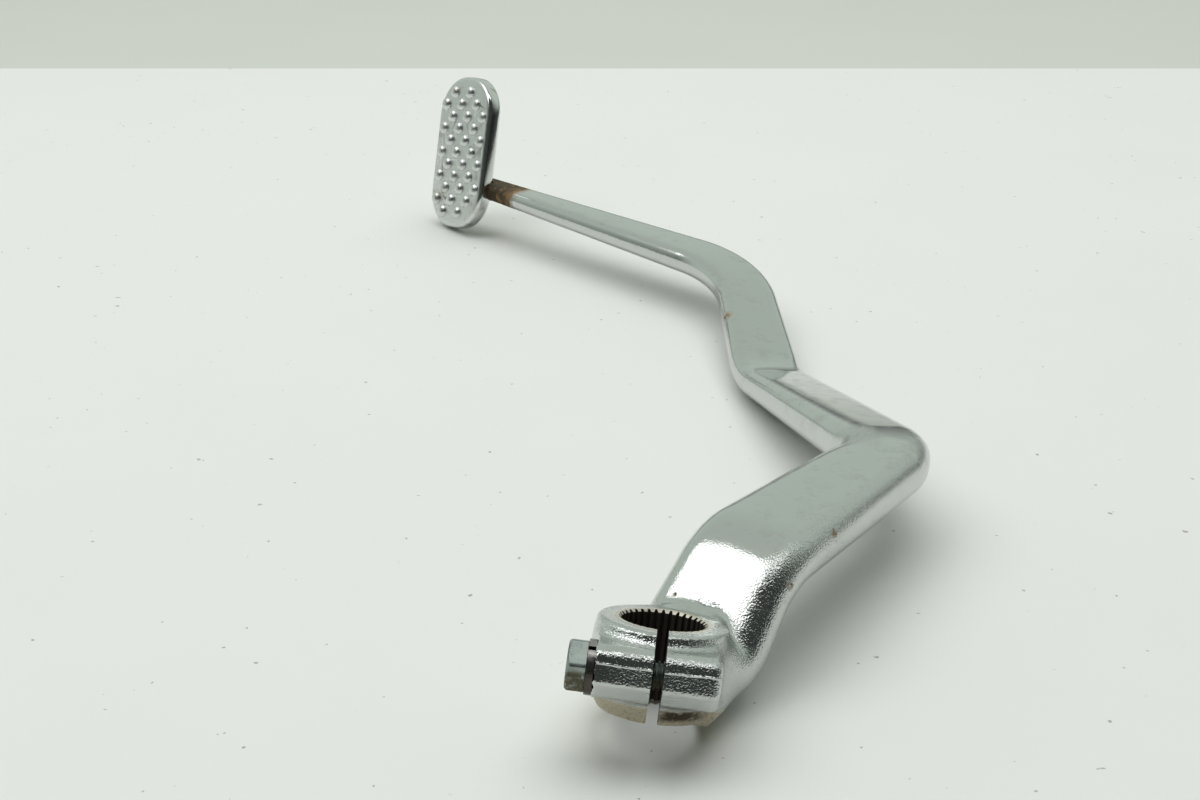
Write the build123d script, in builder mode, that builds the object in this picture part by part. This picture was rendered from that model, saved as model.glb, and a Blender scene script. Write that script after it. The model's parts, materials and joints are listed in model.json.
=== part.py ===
"""Rear brake pedal: a forged and chromed lever with a splined pinch-clamp boss and a studded foot pad.

Millimetres. The pedal lies at rest on a bench. The origin is the middle of the splined bore, +Z is up
from the bench, and +Y runs along the arm towards the foot pad.
"""
import os
from math import cos, hypot, radians, sin, tan

from build123d import *

os.makedirs("parts", exist_ok=True)

# Spindle line, shared by the bore and the foot pad: how far it leans from upright as the pedal lies
lean_right = 7.5
lean_away = 19.0

# Splined clamp boss: drafted both ways from its parting line, bevelled above and bare below
boss_diameter = 29.0
boss_parting_rise = 1.5
boss_top_diameter = 27.4
boss_top_bevel = 0.8
boss_low_diameter = 27.8
boss_under_diameter = 23.2
boss_under_rise = 3.8
boss_height = 18.9
bore_diameter = 17.4
spline_depth = 0.65
spline_teeth = 36
groove_mouth = 0.85
groove_root = 0.35
slit_width = 2.4
slit_turn = 5.0

# Pinch lug across the slit, on the line of the bolt, with a flat front
bolt_offset = 13.6
bolt_rise = 1.2
lug_top_rise = 5.2
lug_crest_reach = 5.2
lug_crest_rise = 3.9
lug_front_reach = 6.0
lug_front_drop = 1.0
lug_under_reach = 3.0
lug_under_drop = 5.3
lug_bottom_drop = 5.9
lug_length = 25.4
lug_end_bevel = 1.6

# Pinch bolt and spring washer
bolt_diameter = 6.0
bolt_head_across_flats = 10.0
bolt_head_height = 4.0
bolt_head_face = 9.2
bolt_head_bevel = 30.0
bolt_head_turn = -12.0
bolt_tip_chamfer = 0.8
bolt_tip_inset = 0.6
bolt_clearance = 0.3
thread_clearance = 0.05
washer_diameter = 11.2
washer_thickness = 1.5
washer_split = 1.0
washer_split_turn = 125.0

# Arm in plan: the heading of each leg to the right of +Y, and its length
neck_heading = 36.8
neck_length = 101.2
middle_heading = -15.5
middle_length = 86.0
front_heading = -3.4
front_length = 63.0
tail_heading = -45.7
tail_length = 142.0
foot_reach = 16.0
shoulder_reach = 33.0

# Arm from the side: height of the middle of the bar over the bore
root_rise = -3.8
shoulder_rise = 10.7
elbow_rise = 6.9
joggle_rise = -8.4
bend_rise = 1.8
tail_rise = 3.6

# Bar of the arm: width, thickness and bend radius, its edges rounded by a share of the thickness
bar_edge_share = 0.42
root_width = 28.2
foot_width = 29.4
foot_radius = 9.0
neck_thickness = 12.8
shoulder_width = 28.0
shoulder_radius = 20.0
elbow_width = 22.6
elbow_thickness = 12.0
elbow_radius = 17.5
joggle_width = 20.5
joggle_thickness = 8.4
joggle_radius = 40.0
bend_width = 19.0
bend_thickness = 8.2
bend_radius = 52.0
tail_width = 9.0
tail_thickness = 5.8

# Foot pad, welded on edge across the end of the arm
pad_length = 56.0
pad_width = 32.0
pad_thickness = 5.6
pad_corner_radius = 14.0
pad_front_bevel = 0.9
pad_back_bevel = 0.8
pad_heading = -37.0
pad_attach = 14.2
pad_lap = 26.0
weld_sink = 1.0
weld_leg = 2.2
weld_length = 24.0
weld_slope = 45.0
stud_diameter = 5.2
stud_sides = 8
stud_height = 1.3
stud_sink = 0.6
stud_slope = 30.0
stud_row_pitch = 4.45
stud_column_pitch = 4.7
stud_rows = 11
stud_columns = 6
stud_margin = 0.4


def ahead(heading, distance, rise=0.0):
    """Step in plan along a heading measured to the right of +Y, with its rise."""
    return Vector(sin(radians(heading)) * distance, cos(radians(heading)) * distance, rise)


# Spindle frame: Z along the bore, X along the pinch bolt, the slit on the -Y side
spindle_axis = Vector(0, 0, 1).rotate(Axis.X, -lean_away).rotate(Axis.Y, lean_right)
spindle_line = Axis((0, 0, 0), spindle_axis)
bolt_axis = Vector(1, 0, 0).rotate(Axis.Y, lean_right).rotate(spindle_line, -slit_turn)
spindle = Plane(origin=(0, 0, 0), x_dir=bolt_axis, z_dir=spindle_axis)

# Bolt frame: Z along the bolt from its head to its tip, X towards the bore
bolt_centre = spindle.from_local_coords((0, -bolt_offset, bolt_rise))
bolt_mid = Plane(origin=bolt_centre, x_dir=spindle.y_dir, z_dir=bolt_axis)
spot_face = bolt_mid.offset(-lug_length / 2)
washer_seat = spot_face.offset(-washer_thickness)
bolt_head_top = washer_seat.offset(-bolt_head_height)

# Centre line of the arm, bend by bend
root = Vector(0, 0, root_rise)
foot = root + ahead(neck_heading, foot_reach)
shoulder = root + ahead(neck_heading, shoulder_reach, shoulder_rise - root_rise)
elbow = root + ahead(neck_heading, neck_length, elbow_rise - root_rise)
joggle = elbow + ahead(middle_heading, middle_length, joggle_rise - elbow_rise)
bend = joggle + ahead(front_heading, front_length, bend_rise - joggle_rise)
tail = bend + ahead(tail_heading, tail_length, tail_rise - bend_rise)
tail_run = (tail - bend).normalized()

# Pad frame on its back face: X towards the near edge, Y along the spindle line, Z out of the studded face
pad_across = ahead(pad_heading, 1)
pad_across = (pad_across - spindle_axis * pad_across.dot(spindle_axis)).normalized()
pad_out = spindle_axis.cross(pad_across)
lap_start = tail - tail_run * pad_lap
lap_edge = lap_start + ahead(tail_heading - 90, tail_width / 2 - weld_sink)
pad_centre = lap_edge + pad_across * (pad_width / 2) + spindle_axis * (pad_length / 2 - pad_attach)
pad_back = Plane(origin=pad_centre, x_dir=-pad_across, z_dir=pad_out)
weld_centre = lap_start + tail_run * (weld_length / 2)
weld_centre = weld_centre - pad_out * (weld_centre - pad_centre).dot(pad_out)
weld_run = tail_run - pad_out * tail_run.dot(pad_out)
weld_seat = Plane(origin=weld_centre, x_dir=weld_run, z_dir=-pad_out)

with BuildPart() as pedal_arm:
    # Pinch lug: a forged bar along the bolt, flat in front and carried back into the boss
    with BuildSketch(bolt_mid):
        Polygon(
            (bolt_offset, lug_top_rise),
            (0, lug_top_rise),
            (-lug_crest_reach, lug_crest_rise),
            (-lug_front_reach, -lug_front_drop),
            (-lug_under_reach, -lug_under_drop),
            (0, -lug_bottom_drop),
            (bolt_offset, -lug_bottom_drop),
            align=None,
        )
    extrude(amount=lug_length / 2, both=True)
    lug_end = pedal_arm.faces().sort_by(Axis(bolt_centre, bolt_axis))[-1]
    chamfer(lug_end.edges().sort_by(Axis(bolt_centre, bolt_mid.x_dir))[:-1], lug_end_bevel)

    # Clamp boss: a round blank, widest at its parting line, with bevelled rims
    with BuildSketch(Plane(origin=(0, 0, 0), x_dir=bolt_axis, z_dir=-spindle.y_dir)):
        Polygon(
            (0, -boss_height / 2),
            (boss_under_diameter / 2, -boss_height / 2),
            (boss_low_diameter / 2, boss_under_rise - boss_height / 2),
            (boss_diameter / 2, boss_parting_rise),
            (boss_top_diameter / 2, boss_height / 2 - boss_top_bevel),
            (boss_top_diameter / 2 - boss_top_bevel, boss_height / 2),
            (0, boss_height / 2),
            align=None,
        )
    revolve(axis=spindle_line)

    # Bar of the arm: each leg tapers straight to the next bend, and each bend swings one section round
    bends = (
        (foot, shoulder, foot_radius, foot_width, neck_thickness),
        (shoulder, elbow, shoulder_radius, shoulder_width, neck_thickness),
        (elbow, joggle, elbow_radius, elbow_width, elbow_thickness),
        (joggle, bend, joggle_radius, joggle_width, joggle_thickness),
        (bend, tail, bend_radius, bend_width, bend_thickness),
    )
    leg = Plane(origin=root, x_dir=ahead(neck_heading + 90, 1), z_dir=foot - root)
    leg_width = root_width
    leg_thickness = neck_thickness
    for corner, following, radius, width, thickness in bends:
        leaving = (following - corner).normalized()
        turn = leg.z_dir.get_angle(leaving)
        setback = radius * tan(radians(turn) / 2)
        bend_start = Plane(origin=corner - leg.z_dir * setback, x_dir=leg.x_dir, z_dir=leg.z_dir)
        with BuildSketch(leg):
            RectangleRounded(leg_width, leg_thickness, leg_thickness * bar_edge_share)
        with BuildSketch(bend_start):
            RectangleRounded(width, thickness, thickness * bar_edge_share)
        loft()
        hinge = leg.z_dir.cross(leaving).normalized()
        with BuildSketch(bend_start):
            RectangleRounded(width, thickness, thickness * bar_edge_share)
        revolve(axis=Axis(bend_start.origin + hinge.cross(leg.z_dir) * radius, hinge), revolution_arc=turn)
        across = leg.x_dir.rotate(Axis((0, 0, 0), hinge), turn)
        leg = Plane(origin=corner + leaving * setback, x_dir=across, z_dir=leaving)
        leg_width = width
        leg_thickness = thickness
    with BuildSketch(leg):
        RectangleRounded(leg_width, leg_thickness, leg_thickness * bar_edge_share)
    with BuildSketch(Plane(origin=tail, x_dir=leg.x_dir, z_dir=leg.z_dir)):
        RectangleRounded(tail_width, tail_thickness, tail_thickness * bar_edge_share)
    loft()

    # Weld bead round the end of the bar, and the end ground to the back of the pad
    with BuildSketch(weld_seat):
        SlotOverall(weld_length, tail_thickness + 2 * weld_leg)
    extrude(amount=weld_leg, taper=weld_slope)
    with BuildSketch(pad_back):
        RectangleRounded(pad_width, pad_length, pad_corner_radius)
    extrude(amount=pad_lap, mode=Mode.SUBTRACT)

    # Splined bore
    with BuildSketch(spindle):
        Circle(bore_diameter / 2)
        with PolarLocations(bore_diameter / 2, spline_teeth):
            Polygon(
                (-spline_depth, -groove_mouth / 2),
                (0, -groove_mouth / 2),
                (spline_depth, -groove_root / 2),
                (spline_depth, groove_root / 2),
                (0, groove_mouth / 2),
                (-spline_depth, groove_mouth / 2),
                align=None,
            )
    extrude(amount=boss_height, both=True, mode=Mode.SUBTRACT)

    # Slit, and the hole for the bolt: clear in the ear under the head, tapped in the far ear
    with BuildSketch(spindle):
        Rectangle(slit_width, boss_diameter, align=(Align.CENTER, Align.MAX))
    extrude(amount=boss_height, both=True, mode=Mode.SUBTRACT)
    with BuildSketch(bolt_mid):
        Circle(bolt_diameter / 2 + bolt_clearance)
    extrude(amount=-lug_length, mode=Mode.SUBTRACT)
    with BuildSketch(bolt_mid):
        Circle(bolt_diameter / 2 + thread_clearance)
    extrude(amount=lug_length, mode=Mode.SUBTRACT)

pedal_arm.part.label = "pedal_arm"
export_step(pedal_arm.part, "parts/pedal_arm.step")

with BuildPart() as foot_pad:
    # Round-ended plate with its rims bevelled
    with BuildSketch(pad_back):
        RectangleRounded(pad_width, pad_length, pad_corner_radius)
    extrude(amount=pad_thickness)
    pad_faces = foot_pad.faces().sort_by(Axis(pad_centre, pad_out))
    chamfer(pad_faces[-1].edges(), pad_front_bevel)
    chamfer(pad_faces[0].edges(), pad_back_bevel)

    # Grip studs on a staggered lattice, kept clear of the rounded rim
    studs = []
    stud_reach = pad_corner_radius - stud_diameter / 2 - stud_margin
    for row in range(stud_rows):
        for column in range(row % 2, stud_columns, 2):
            across = (stud_columns - 1 - 2 * column) / 2 * stud_column_pitch
            along = (stud_rows - 1 - 2 * row) / 2 * stud_row_pitch
            past_side = max(abs(across) - pad_width / 2 + pad_corner_radius, 0)
            past_end = max(abs(along) - pad_length / 2 + pad_corner_radius, 0)
            if hypot(past_side, past_end) <= stud_reach:
                studs.append((across, along))
    stud_root = stud_diameter / 2 + stud_sink * tan(radians(stud_slope))
    with BuildSketch(pad_back.offset(pad_thickness - stud_sink)):
        with Locations(studs):
            RegularPolygon(stud_root, stud_sides)
    extrude(amount=stud_sink + stud_height, taper=stud_slope)

foot_pad.part.label = "foot_pad"
export_step(foot_pad.part, "parts/foot_pad.step")

with BuildPart() as spring_washer:
    # Split ring between the bolt head and the lug
    with BuildSketch(washer_seat):
        Circle(washer_diameter / 2)
        Circle(bolt_diameter / 2 + bolt_clearance, mode=Mode.SUBTRACT)
        with Locations(Location((0, 0), washer_split_turn)):
            Rectangle(washer_diameter, washer_split, align=(Align.MIN, Align.CENTER), mode=Mode.SUBTRACT)
    extrude(amount=washer_thickness)

spring_washer.part.label = "spring_washer"
export_step(spring_washer.part, "parts/spring_washer.step")

with BuildPart() as pinch_bolt:
    # Hex head with its outer corners bevelled, then the shank through both ears
    with BuildSketch(bolt_head_top):
        RegularPolygon(bolt_head_across_flats / 2, 6, major_radius=False, rotation=bolt_head_turn)
    extrude(amount=bolt_head_height)
    with BuildSketch(bolt_head_top):
        Circle(bolt_head_face / 2)
    extrude(amount=bolt_head_height, taper=bolt_head_bevel - 90, mode=Mode.INTERSECT)
    with BuildSketch(washer_seat):
        Circle(bolt_diameter / 2)
    extrude(amount=washer_thickness + lug_length - bolt_tip_inset)
    chamfer(pinch_bolt.faces().sort_by(Axis(bolt_centre, bolt_axis))[-1].edges(), bolt_tip_chamfer)

pinch_bolt.part.label = "pinch_bolt"
export_step(pinch_bolt.part, "parts/pinch_bolt.step")
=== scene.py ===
"""Rear brake pedal lying on a white bench, as photographed: chromed forging, studded foot pad, pinch bolt."""
import json
import math

import bmesh
import bpy
import numpy as np
from mathutils import Matrix, Vector


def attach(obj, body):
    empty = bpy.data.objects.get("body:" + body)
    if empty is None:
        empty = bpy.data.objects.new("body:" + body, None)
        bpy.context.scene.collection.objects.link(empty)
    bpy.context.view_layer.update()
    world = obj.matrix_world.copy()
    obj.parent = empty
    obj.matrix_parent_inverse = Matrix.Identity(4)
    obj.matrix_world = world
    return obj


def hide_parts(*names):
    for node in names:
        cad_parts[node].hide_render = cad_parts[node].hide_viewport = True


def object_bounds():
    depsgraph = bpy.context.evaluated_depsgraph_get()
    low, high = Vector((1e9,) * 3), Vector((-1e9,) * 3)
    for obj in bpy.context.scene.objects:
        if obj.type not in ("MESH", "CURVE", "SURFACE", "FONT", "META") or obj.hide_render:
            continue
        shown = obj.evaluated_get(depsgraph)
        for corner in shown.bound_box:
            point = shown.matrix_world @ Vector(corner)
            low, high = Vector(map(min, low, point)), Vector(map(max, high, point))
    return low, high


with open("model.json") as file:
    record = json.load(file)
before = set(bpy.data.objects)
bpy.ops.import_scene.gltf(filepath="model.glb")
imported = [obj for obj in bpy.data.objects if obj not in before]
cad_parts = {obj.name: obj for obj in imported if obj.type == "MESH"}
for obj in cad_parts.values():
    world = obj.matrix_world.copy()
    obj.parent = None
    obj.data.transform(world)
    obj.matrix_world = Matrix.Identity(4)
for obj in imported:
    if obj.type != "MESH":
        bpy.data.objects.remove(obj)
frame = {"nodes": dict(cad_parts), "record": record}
cad_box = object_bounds()

# Pedal arm: a steel forging in one piece, from the clamp boss and pinch lug along a flat bar that is bent,
# swept out and drawn thin. It is ground, polished and chrome plated, then bored, splined, slit and drilled.
# Its foot pad is welded to the thin end, where heat and weather have let the plating rust.
mm = 0.001
slit_turn = 5.0
lean_right = 7.5
boss_radius = 14.5
boss_height = 18.9
boss_edge = 0.7
boss_profile = ((11.6, -9.45), (13.9, -5.65), (14.5, 1.5), (13.65, 8.9), (13.05, 9.45))
bore_radius = 8.7
spline_depth = 0.65
spline_teeth = 36
groove_mouth = 0.85
groove_root = 0.35
slit_width = 2.4
bolt_offset = 13.6
bolt_rise = 1.2
lug_bottom_drop = 5.9
lug_lower_corners = ((3.0, -5.3), (5.93, -1.6))
lug_crest_radius = 3.2
lug_crest_centre = (2.15, 2.4)
lug_crest_turns = (5, 30, 55, 85)
lug_edge = 1.0
lug_length = 25.4
lug_end_edge = 2.0
spot_face_edge = 0.3
parting_rise = 2.2
bolt_radius = 3.0
bolt_clearance = 0.3
thread_clearance = 0.05
drill_step = 0.01
drill_sides = 48
mouth_sides = 72
neck_heading = 36.8
neck_length = 101.2
neck_thickness = 12.8
neck_crown = 0.9
neck_crown_reach = 30.0
middle_heading = -15.5
middle_length = 86.0
front_heading = -3.4
front_length = 63.0
tail_heading = -45.7
tail_length = 142.0
tail_rise = 3.6
tail_width = 9.0
tail_thickness = 5.8
root_rise = -3.8
root_width = 28.2
foot_reach = 16.0
foot_width = 29.4
foot_radius = 9.0
shoulder_reach = 33.0
shoulder_rise = 10.7
shoulder_width = 28.0
shoulder_radius = 20.0
elbow_rise = 6.9
elbow_width = 22.6
elbow_thickness = 12.0
elbow_radius = 17.5
joggle_rise = -8.4
joggle_width = 20.5
joggle_thickness = 8.4
joggle_radius = 40.0
bend_rise = 1.8
bend_width = 19.0
bend_thickness = 8.2
bend_radius = 52.0
bar_edge_share = 0.42
bar_crown = 0.3
corner_inside = 11.0
corner_rise = 5.0
corner_ease = 9.0
corner_sweeps = 70
pad_heading = -37.0
pad_length = 56.0
pad_width = 32.0
pad_thickness = 5.6
pad_corner = 14.0
pad_attach = 14.2
pad_lap = 26.0
weld_sink = 1.0
weld_leg = 2.2
weld_length = 24.0
weld_ripple_pitch = 2.1
weld_ripple_height = 0.22
weld_blank_inset = 2.0
bore_chamfer = 0.45
lug_blend = 2.0
root_blend = 4.6
weld_blend = 1.6
forging_voxel = 0.62


def turned(vector, axis, degrees):
    """The vector turned about an axis by the right-hand rule."""
    angle = math.radians(degrees)
    axis = axis / np.linalg.norm(axis)
    return (vector * math.cos(angle) + np.cross(axis, vector) * math.sin(angle)
            + axis * np.dot(axis, vector) * (1 - math.cos(angle)))


def ahead(heading, distance, rise=0.0):
    """A step in plan along a heading measured to the right of +Y, with its rise."""
    angle = math.radians(heading)
    return np.array((math.sin(angle) * distance, math.cos(angle) * distance, rise))


def unit(vector):
    return vector / np.linalg.norm(vector)


spindle_axis = unit(np.array(frame["record"]["mounts"][0]["axis"], float))
bolt_axis = turned(turned(np.array((1.0, 0, 0)), np.array((0, 1.0, 0)), lean_right), spindle_axis, -slit_turn)
slit_back = np.cross(spindle_axis, bolt_axis)
bolt_centre = spindle_axis * bolt_rise - slit_back * bolt_offset

root = np.array((0, 0, root_rise))
foot = root + ahead(neck_heading, foot_reach)
shoulder = root + ahead(neck_heading, shoulder_reach, shoulder_rise - root_rise)
elbow = root + ahead(neck_heading, neck_length, elbow_rise - root_rise)
joggle = elbow + ahead(middle_heading, middle_length, joggle_rise - elbow_rise)
front_bend = joggle + ahead(front_heading, front_length, bend_rise - joggle_rise)
tail = front_bend + ahead(tail_heading, tail_length, tail_rise - bend_rise)
bends = (
    (foot, shoulder, foot_radius, foot_width, neck_thickness),
    (shoulder, elbow, shoulder_radius, shoulder_width, neck_thickness),
    (elbow, joggle, elbow_radius, elbow_width, elbow_thickness),
    (joggle, front_bend, joggle_radius, joggle_width, joggle_thickness),
    (front_bend, tail, bend_radius, bend_width, bend_thickness),
)

# Stations along the bar, a millimetre apart: place, direction across, direction along, width, thickness
stations = []
place = root
along = unit(foot - root)
across = ahead(neck_heading + 90, 1)
width = root_width
thickness = neck_thickness


def lay_leg(end, end_width, end_thickness):
    """Stations along a straight leg that tapers to its end."""
    count = max(2, int(np.linalg.norm(end - place)))
    for share in np.linspace(0, 1, count, endpoint=False):
        stations.append((place + (end - place) * share, across, along,
                         width + (end_width - width) * share,
                         thickness + (end_thickness - thickness) * share))


for corner, following, radius, corner_width, corner_thickness in bends:
    leaving = unit(following - corner)
    turn = math.degrees(math.acos(np.dot(along, leaving)))
    setback = radius * math.tan(math.radians(turn) / 2)
    bend_start = corner - along * setback
    lay_leg(bend_start, corner_width, corner_thickness)
    hinge = unit(np.cross(along, leaving))
    centre = bend_start + np.cross(hinge, along) * radius
    for angle in np.linspace(0, turn, max(3, int(radius * math.radians(turn))), endpoint=False):
        stations.append((centre + turned(bend_start - centre, hinge, angle), turned(across, hinge, angle),
                         turned(along, hinge, angle), corner_width, corner_thickness))
    place = corner + leaving * setback
    across = turned(across, hinge, turn)
    along, width, thickness = leaving, corner_width, corner_thickness
lay_leg(tail, tail_width, tail_thickness)
stations.append((tail, across, along, tail_width, tail_thickness))
bar_place = np.array([s[0] for s in stations])
bar_across = np.array([s[1] for s in stations])
bar_along = np.array([s[2] for s in stations])
bar_through = np.cross(bar_along, bar_across)
bar_half_width = np.array([s[3] for s in stations]) / 2
bar_half_thick = np.array([s[4] for s in stations]) / 2

# Pad frame, which the weld and the ground end of the bar follow
pad_across = ahead(pad_heading, 1)
pad_across = unit(pad_across - spindle_axis * np.dot(pad_across, spindle_axis))
pad_out = np.cross(spindle_axis, pad_across)
lap_start = tail - along * pad_lap
lap_edge = lap_start + ahead(tail_heading - 90, tail_width / 2 - weld_sink)
pad_centre = lap_edge + pad_across * (pad_width / 2) + spindle_axis * (pad_length / 2 - pad_attach)
weld_centre = lap_start + along * (weld_length / 2)
weld_centre = weld_centre - pad_out * np.dot(weld_centre - pad_centre, pad_out)
weld_run = unit(along - pad_out * np.dot(along, pad_out))
weld_side = np.cross(pad_out, weld_run)


def bar_section(points, block_length=20000, same_place=1e-9):
    """Where points lie in the bar's own section: across, through, half sizes, and how far past its ends."""
    near = np.empty(len(points), int)
    for low in range(0, len(points), block_length):
        block = points[low:low + block_length]
        gap = (bar_place ** 2).sum(1)[None, :] - 2 * block @ bar_place.T
        near[low:low + block_length] = gap.argmin(1)
    ahead_of = ((points - bar_place[near]) * bar_along[near]).sum(1)
    other = np.clip(near + np.where(ahead_of > 0, 1, -1), 0, len(bar_place) - 1)
    past_other = ((points - bar_place[other]) * bar_along[other]).sum(1)
    split = ahead_of - past_other
    apart = np.abs(split) > same_place
    share = np.clip(np.where(apart, ahead_of / np.where(apart, split, 1), 0), 0, 1)

    def between(values):
        part = share if values.ndim == 1 else share[:, None]
        return values[near] * (1 - part) + values[other] * part

    offset = points - between(bar_place)
    across_bar = (offset * between(bar_across)).sum(1)
    through_bar = (offset * between(bar_through)).sum(1)
    at_end = (near == other) | (near == 0) | (near == len(bar_place) - 1)
    run_past = np.where(at_end, (offset * between(bar_along)).sum(1), 0)
    return across_bar, through_bar, between(bar_half_width), between(bar_half_thick), run_past


def rounded(x, y, half_x, half_y, edge):
    """Distance to a rectangle with rounded corners."""
    over_x = np.abs(x) - half_x + edge
    over_y = np.abs(y) - half_y + edge
    return (np.hypot(np.maximum(over_x, 0), np.maximum(over_y, 0))
            + np.minimum(np.maximum(over_x, over_y), 0) - edge)


def outlined(x, y, corners, edge):
    """Distance to a convex outline, named anticlockwise, with its corners eased by a radius."""
    corners = np.array(corners, float)
    runs = np.roll(corners, -1, 0) - corners
    outward = np.stack((runs[:, 1], -runs[:, 0]), 1) / np.hypot(runs[:, 0], runs[:, 1])[:, None]
    reach = (outward * corners).sum(1) - edge
    inset = np.array([np.linalg.solve(outward[[i - 1, i]], reach[[i - 1, i]]) for i in range(len(corners))])
    inside = np.full(len(x), -np.inf)
    outside = np.full(len(x), np.inf)
    for i in range(len(corners)):
        run = inset[(i + 1) % len(corners)] - inset[i]
        from_x = x - inset[i][0]
        from_y = y - inset[i][1]
        share = np.clip((from_x * run[0] + from_y * run[1]) / (run @ run), 0, 1)
        outside = np.minimum(outside, np.hypot(from_x - share * run[0], from_y - share * run[1]))
        inside = np.maximum(inside, outward[i][0] * x + outward[i][1] * y - reach[i])
    return np.where(inside > 0, outside, inside) - edge


def blended(first, second, reach):
    """Two distances joined with a soft hollow between them."""
    share = np.clip(0.5 + 0.5 * (second - first) / reach, 0, 1)
    return second + (first - second) * share - reach * share * (1 - share)


crest = [(lug_crest_centre[0] + lug_crest_radius * math.cos(math.radians(turn)),
          lug_crest_centre[1] + lug_crest_radius * math.sin(math.radians(turn))) for turn in lug_crest_turns]
lug_outline = ((-bolt_offset, -lug_bottom_drop), (0.0, -lug_bottom_drop), *lug_lower_corners, *crest,
               (-bolt_offset, crest[-1][1]))
boss_outline = ((-boss_radius, -boss_height / 2), *boss_profile, (-boss_radius, boss_height / 2))


def forging_distance(points):
    """How far points lie outside the forging, before it is machined."""
    height = points @ spindle_axis
    from_axis = np.linalg.norm(points - height[:, None] * spindle_axis, axis=1)
    boss = outlined(from_axis, height, boss_outline, boss_edge)
    local = points - bolt_centre
    along_bolt = local @ bolt_axis
    to_bore = local @ slit_back
    up = local @ spindle_axis
    end_edge = np.where(along_bolt > 0, lug_end_edge, spot_face_edge)
    over_side = outlined(-to_bore, up, lug_outline, lug_edge) + end_edge
    over_end = np.abs(along_bolt) - lug_length / 2 + end_edge
    lug = (np.hypot(np.maximum(over_side, 0), np.maximum(over_end, 0))
           + np.minimum(np.maximum(over_side, over_end), 0) - end_edge)
    x, y, half_width, half_thick, run_past = bar_section(points)
    by_neck = np.exp(-(((points - shoulder) / neck_crown_reach) ** 2).sum(1))
    crowned = half_thick - (bar_crown + neck_crown * by_neck) * np.clip(np.abs(x) / half_width, 0, 1) ** 2
    bar = np.maximum(rounded(x, y, half_width, crowned, 2 * half_thick * bar_edge_share), np.abs(run_past))
    weld_local = points - weld_centre
    weld_up = -(weld_local @ pad_out)
    run = weld_local @ weld_run
    ripple = weld_ripple_height * np.cos(run * 2 * math.pi / weld_ripple_pitch)
    half_slot = tail_thickness / 2 + weld_leg
    past_slot = np.maximum(np.abs(run) - weld_length / 2 + half_slot, 0)
    slot = np.hypot(past_slot, weld_local @ weld_side) - half_slot
    weld = np.maximum((slot + weld_up + ripple) / math.sqrt(2), np.abs(weld_up) - weld_leg)
    solid = blended(blended(boss, lug, lug_blend), bar, root_blend)
    return blended(solid, weld, weld_blend)


def loft_rings(body, rings):
    """Closes a stack of rings, each an array of points, into one solid."""
    loops = [[body.verts.new(point) for point in ring] for ring in rings]
    for lower, upper in zip(loops, loops[1:]):
        for i in range(len(lower)):
            j = (i + 1) % len(lower)
            body.faces.new((lower[i], lower[j], upper[j], upper[i]))
    body.faces.new(loops[0][::-1])
    body.faces.new(loops[-1])


def solid_of(name, ring_stacks):
    """A new object, in millimetres, of one or more closed stacks of rings."""
    body = bmesh.new()
    for rings in ring_stacks:
        loft_rings(body, rings)
    bmesh.ops.recalc_face_normals(body, faces=body.faces)
    mesh = bpy.data.meshes.new(name)
    body.to_mesh(mesh)
    body.free()
    made = bpy.data.objects.new(name, mesh)
    bpy.context.scene.collection.objects.link(made)
    return made


def circle_ring(centre, first, second, radius, count=64):
    angles = np.linspace(0, 2 * math.pi, count, endpoint=False)[:, None]
    return centre + (np.cos(angles) * first + np.sin(angles) * second) * radius


def settled(made):
    """The object's mesh with its modifiers worked in, and the object taken away."""
    bpy.context.view_layer.update()
    graph = bpy.context.evaluated_depsgraph_get()
    mesh = bpy.data.meshes.new_from_object(made.evaluated_get(graph))
    old = made.data
    bpy.data.objects.remove(made)
    bpy.data.meshes.remove(old)
    return mesh


def cut(made, cutter, how="DIFFERENCE"):
    """Cuts a solid out of an object, or joins it on, and takes the cutter away."""
    step = made.modifiers.new(cutter.name, "BOOLEAN")
    step.operation = how
    step.solver = "MANIFOLD"
    step.object = cutter
    name = made.name
    mesh = settled(made)
    bpy.data.objects.remove(cutter)
    result = bpy.data.objects.new(name, mesh)
    bpy.context.scene.collection.objects.link(result)
    return result


# Rough blank of the forging: bar, boss, lug and weld as overlapping solids
section_turns = np.radians(np.arange(0, 360, 15))
section_cos = np.cos(section_turns)
section_sin = np.sin(section_turns)
bar_rings = []
for i in range(0, len(stations), 2):
    bar_edge = 2 * bar_half_thick[i] * bar_edge_share
    ring_x = np.sign(section_cos) * (bar_half_width[i] - bar_edge) + section_cos * bar_edge
    ring_y = np.sign(section_sin) * (bar_half_thick[i] - bar_edge) + section_sin * bar_edge
    bar_rings.append(bar_place[i] + ring_x[:, None] * bar_across[i] + ring_y[:, None] * bar_through[i])
boss_rings = [circle_ring(spindle_axis * h, bolt_axis, slit_back, boss_radius)
              for h in (-boss_height / 2, boss_height / 2)]
lug_rings = [np.array([bolt_centre + bolt_axis * h - slit_back * x + spindle_axis * y
                       for x, y in lug_outline])
             for h in (-lug_length / 2, lug_length / 2)]
weld_rings = []
for up in (-weld_leg, 0, weld_leg):
    half_run = weld_length / 2 - weld_blank_inset
    half_side = tail_thickness / 2 + weld_leg - max(up, 0)
    weld_level = weld_centre - pad_out * up
    weld_rings.append(np.array([weld_level + weld_run * x * half_run + weld_side * y * half_side
                                for x, y in ((-1, -1), (1, -1), (1, 1), (-1, 1))]))
blank = solid_of("forging_blank", (bar_rings, boss_rings, lug_rings, weld_rings))
skin = blank.modifiers.new("skin", "REMESH")
skin.mode = "VOXEL"
skin.voxel_size = forging_voxel
forged_mesh = settled(blank)

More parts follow.
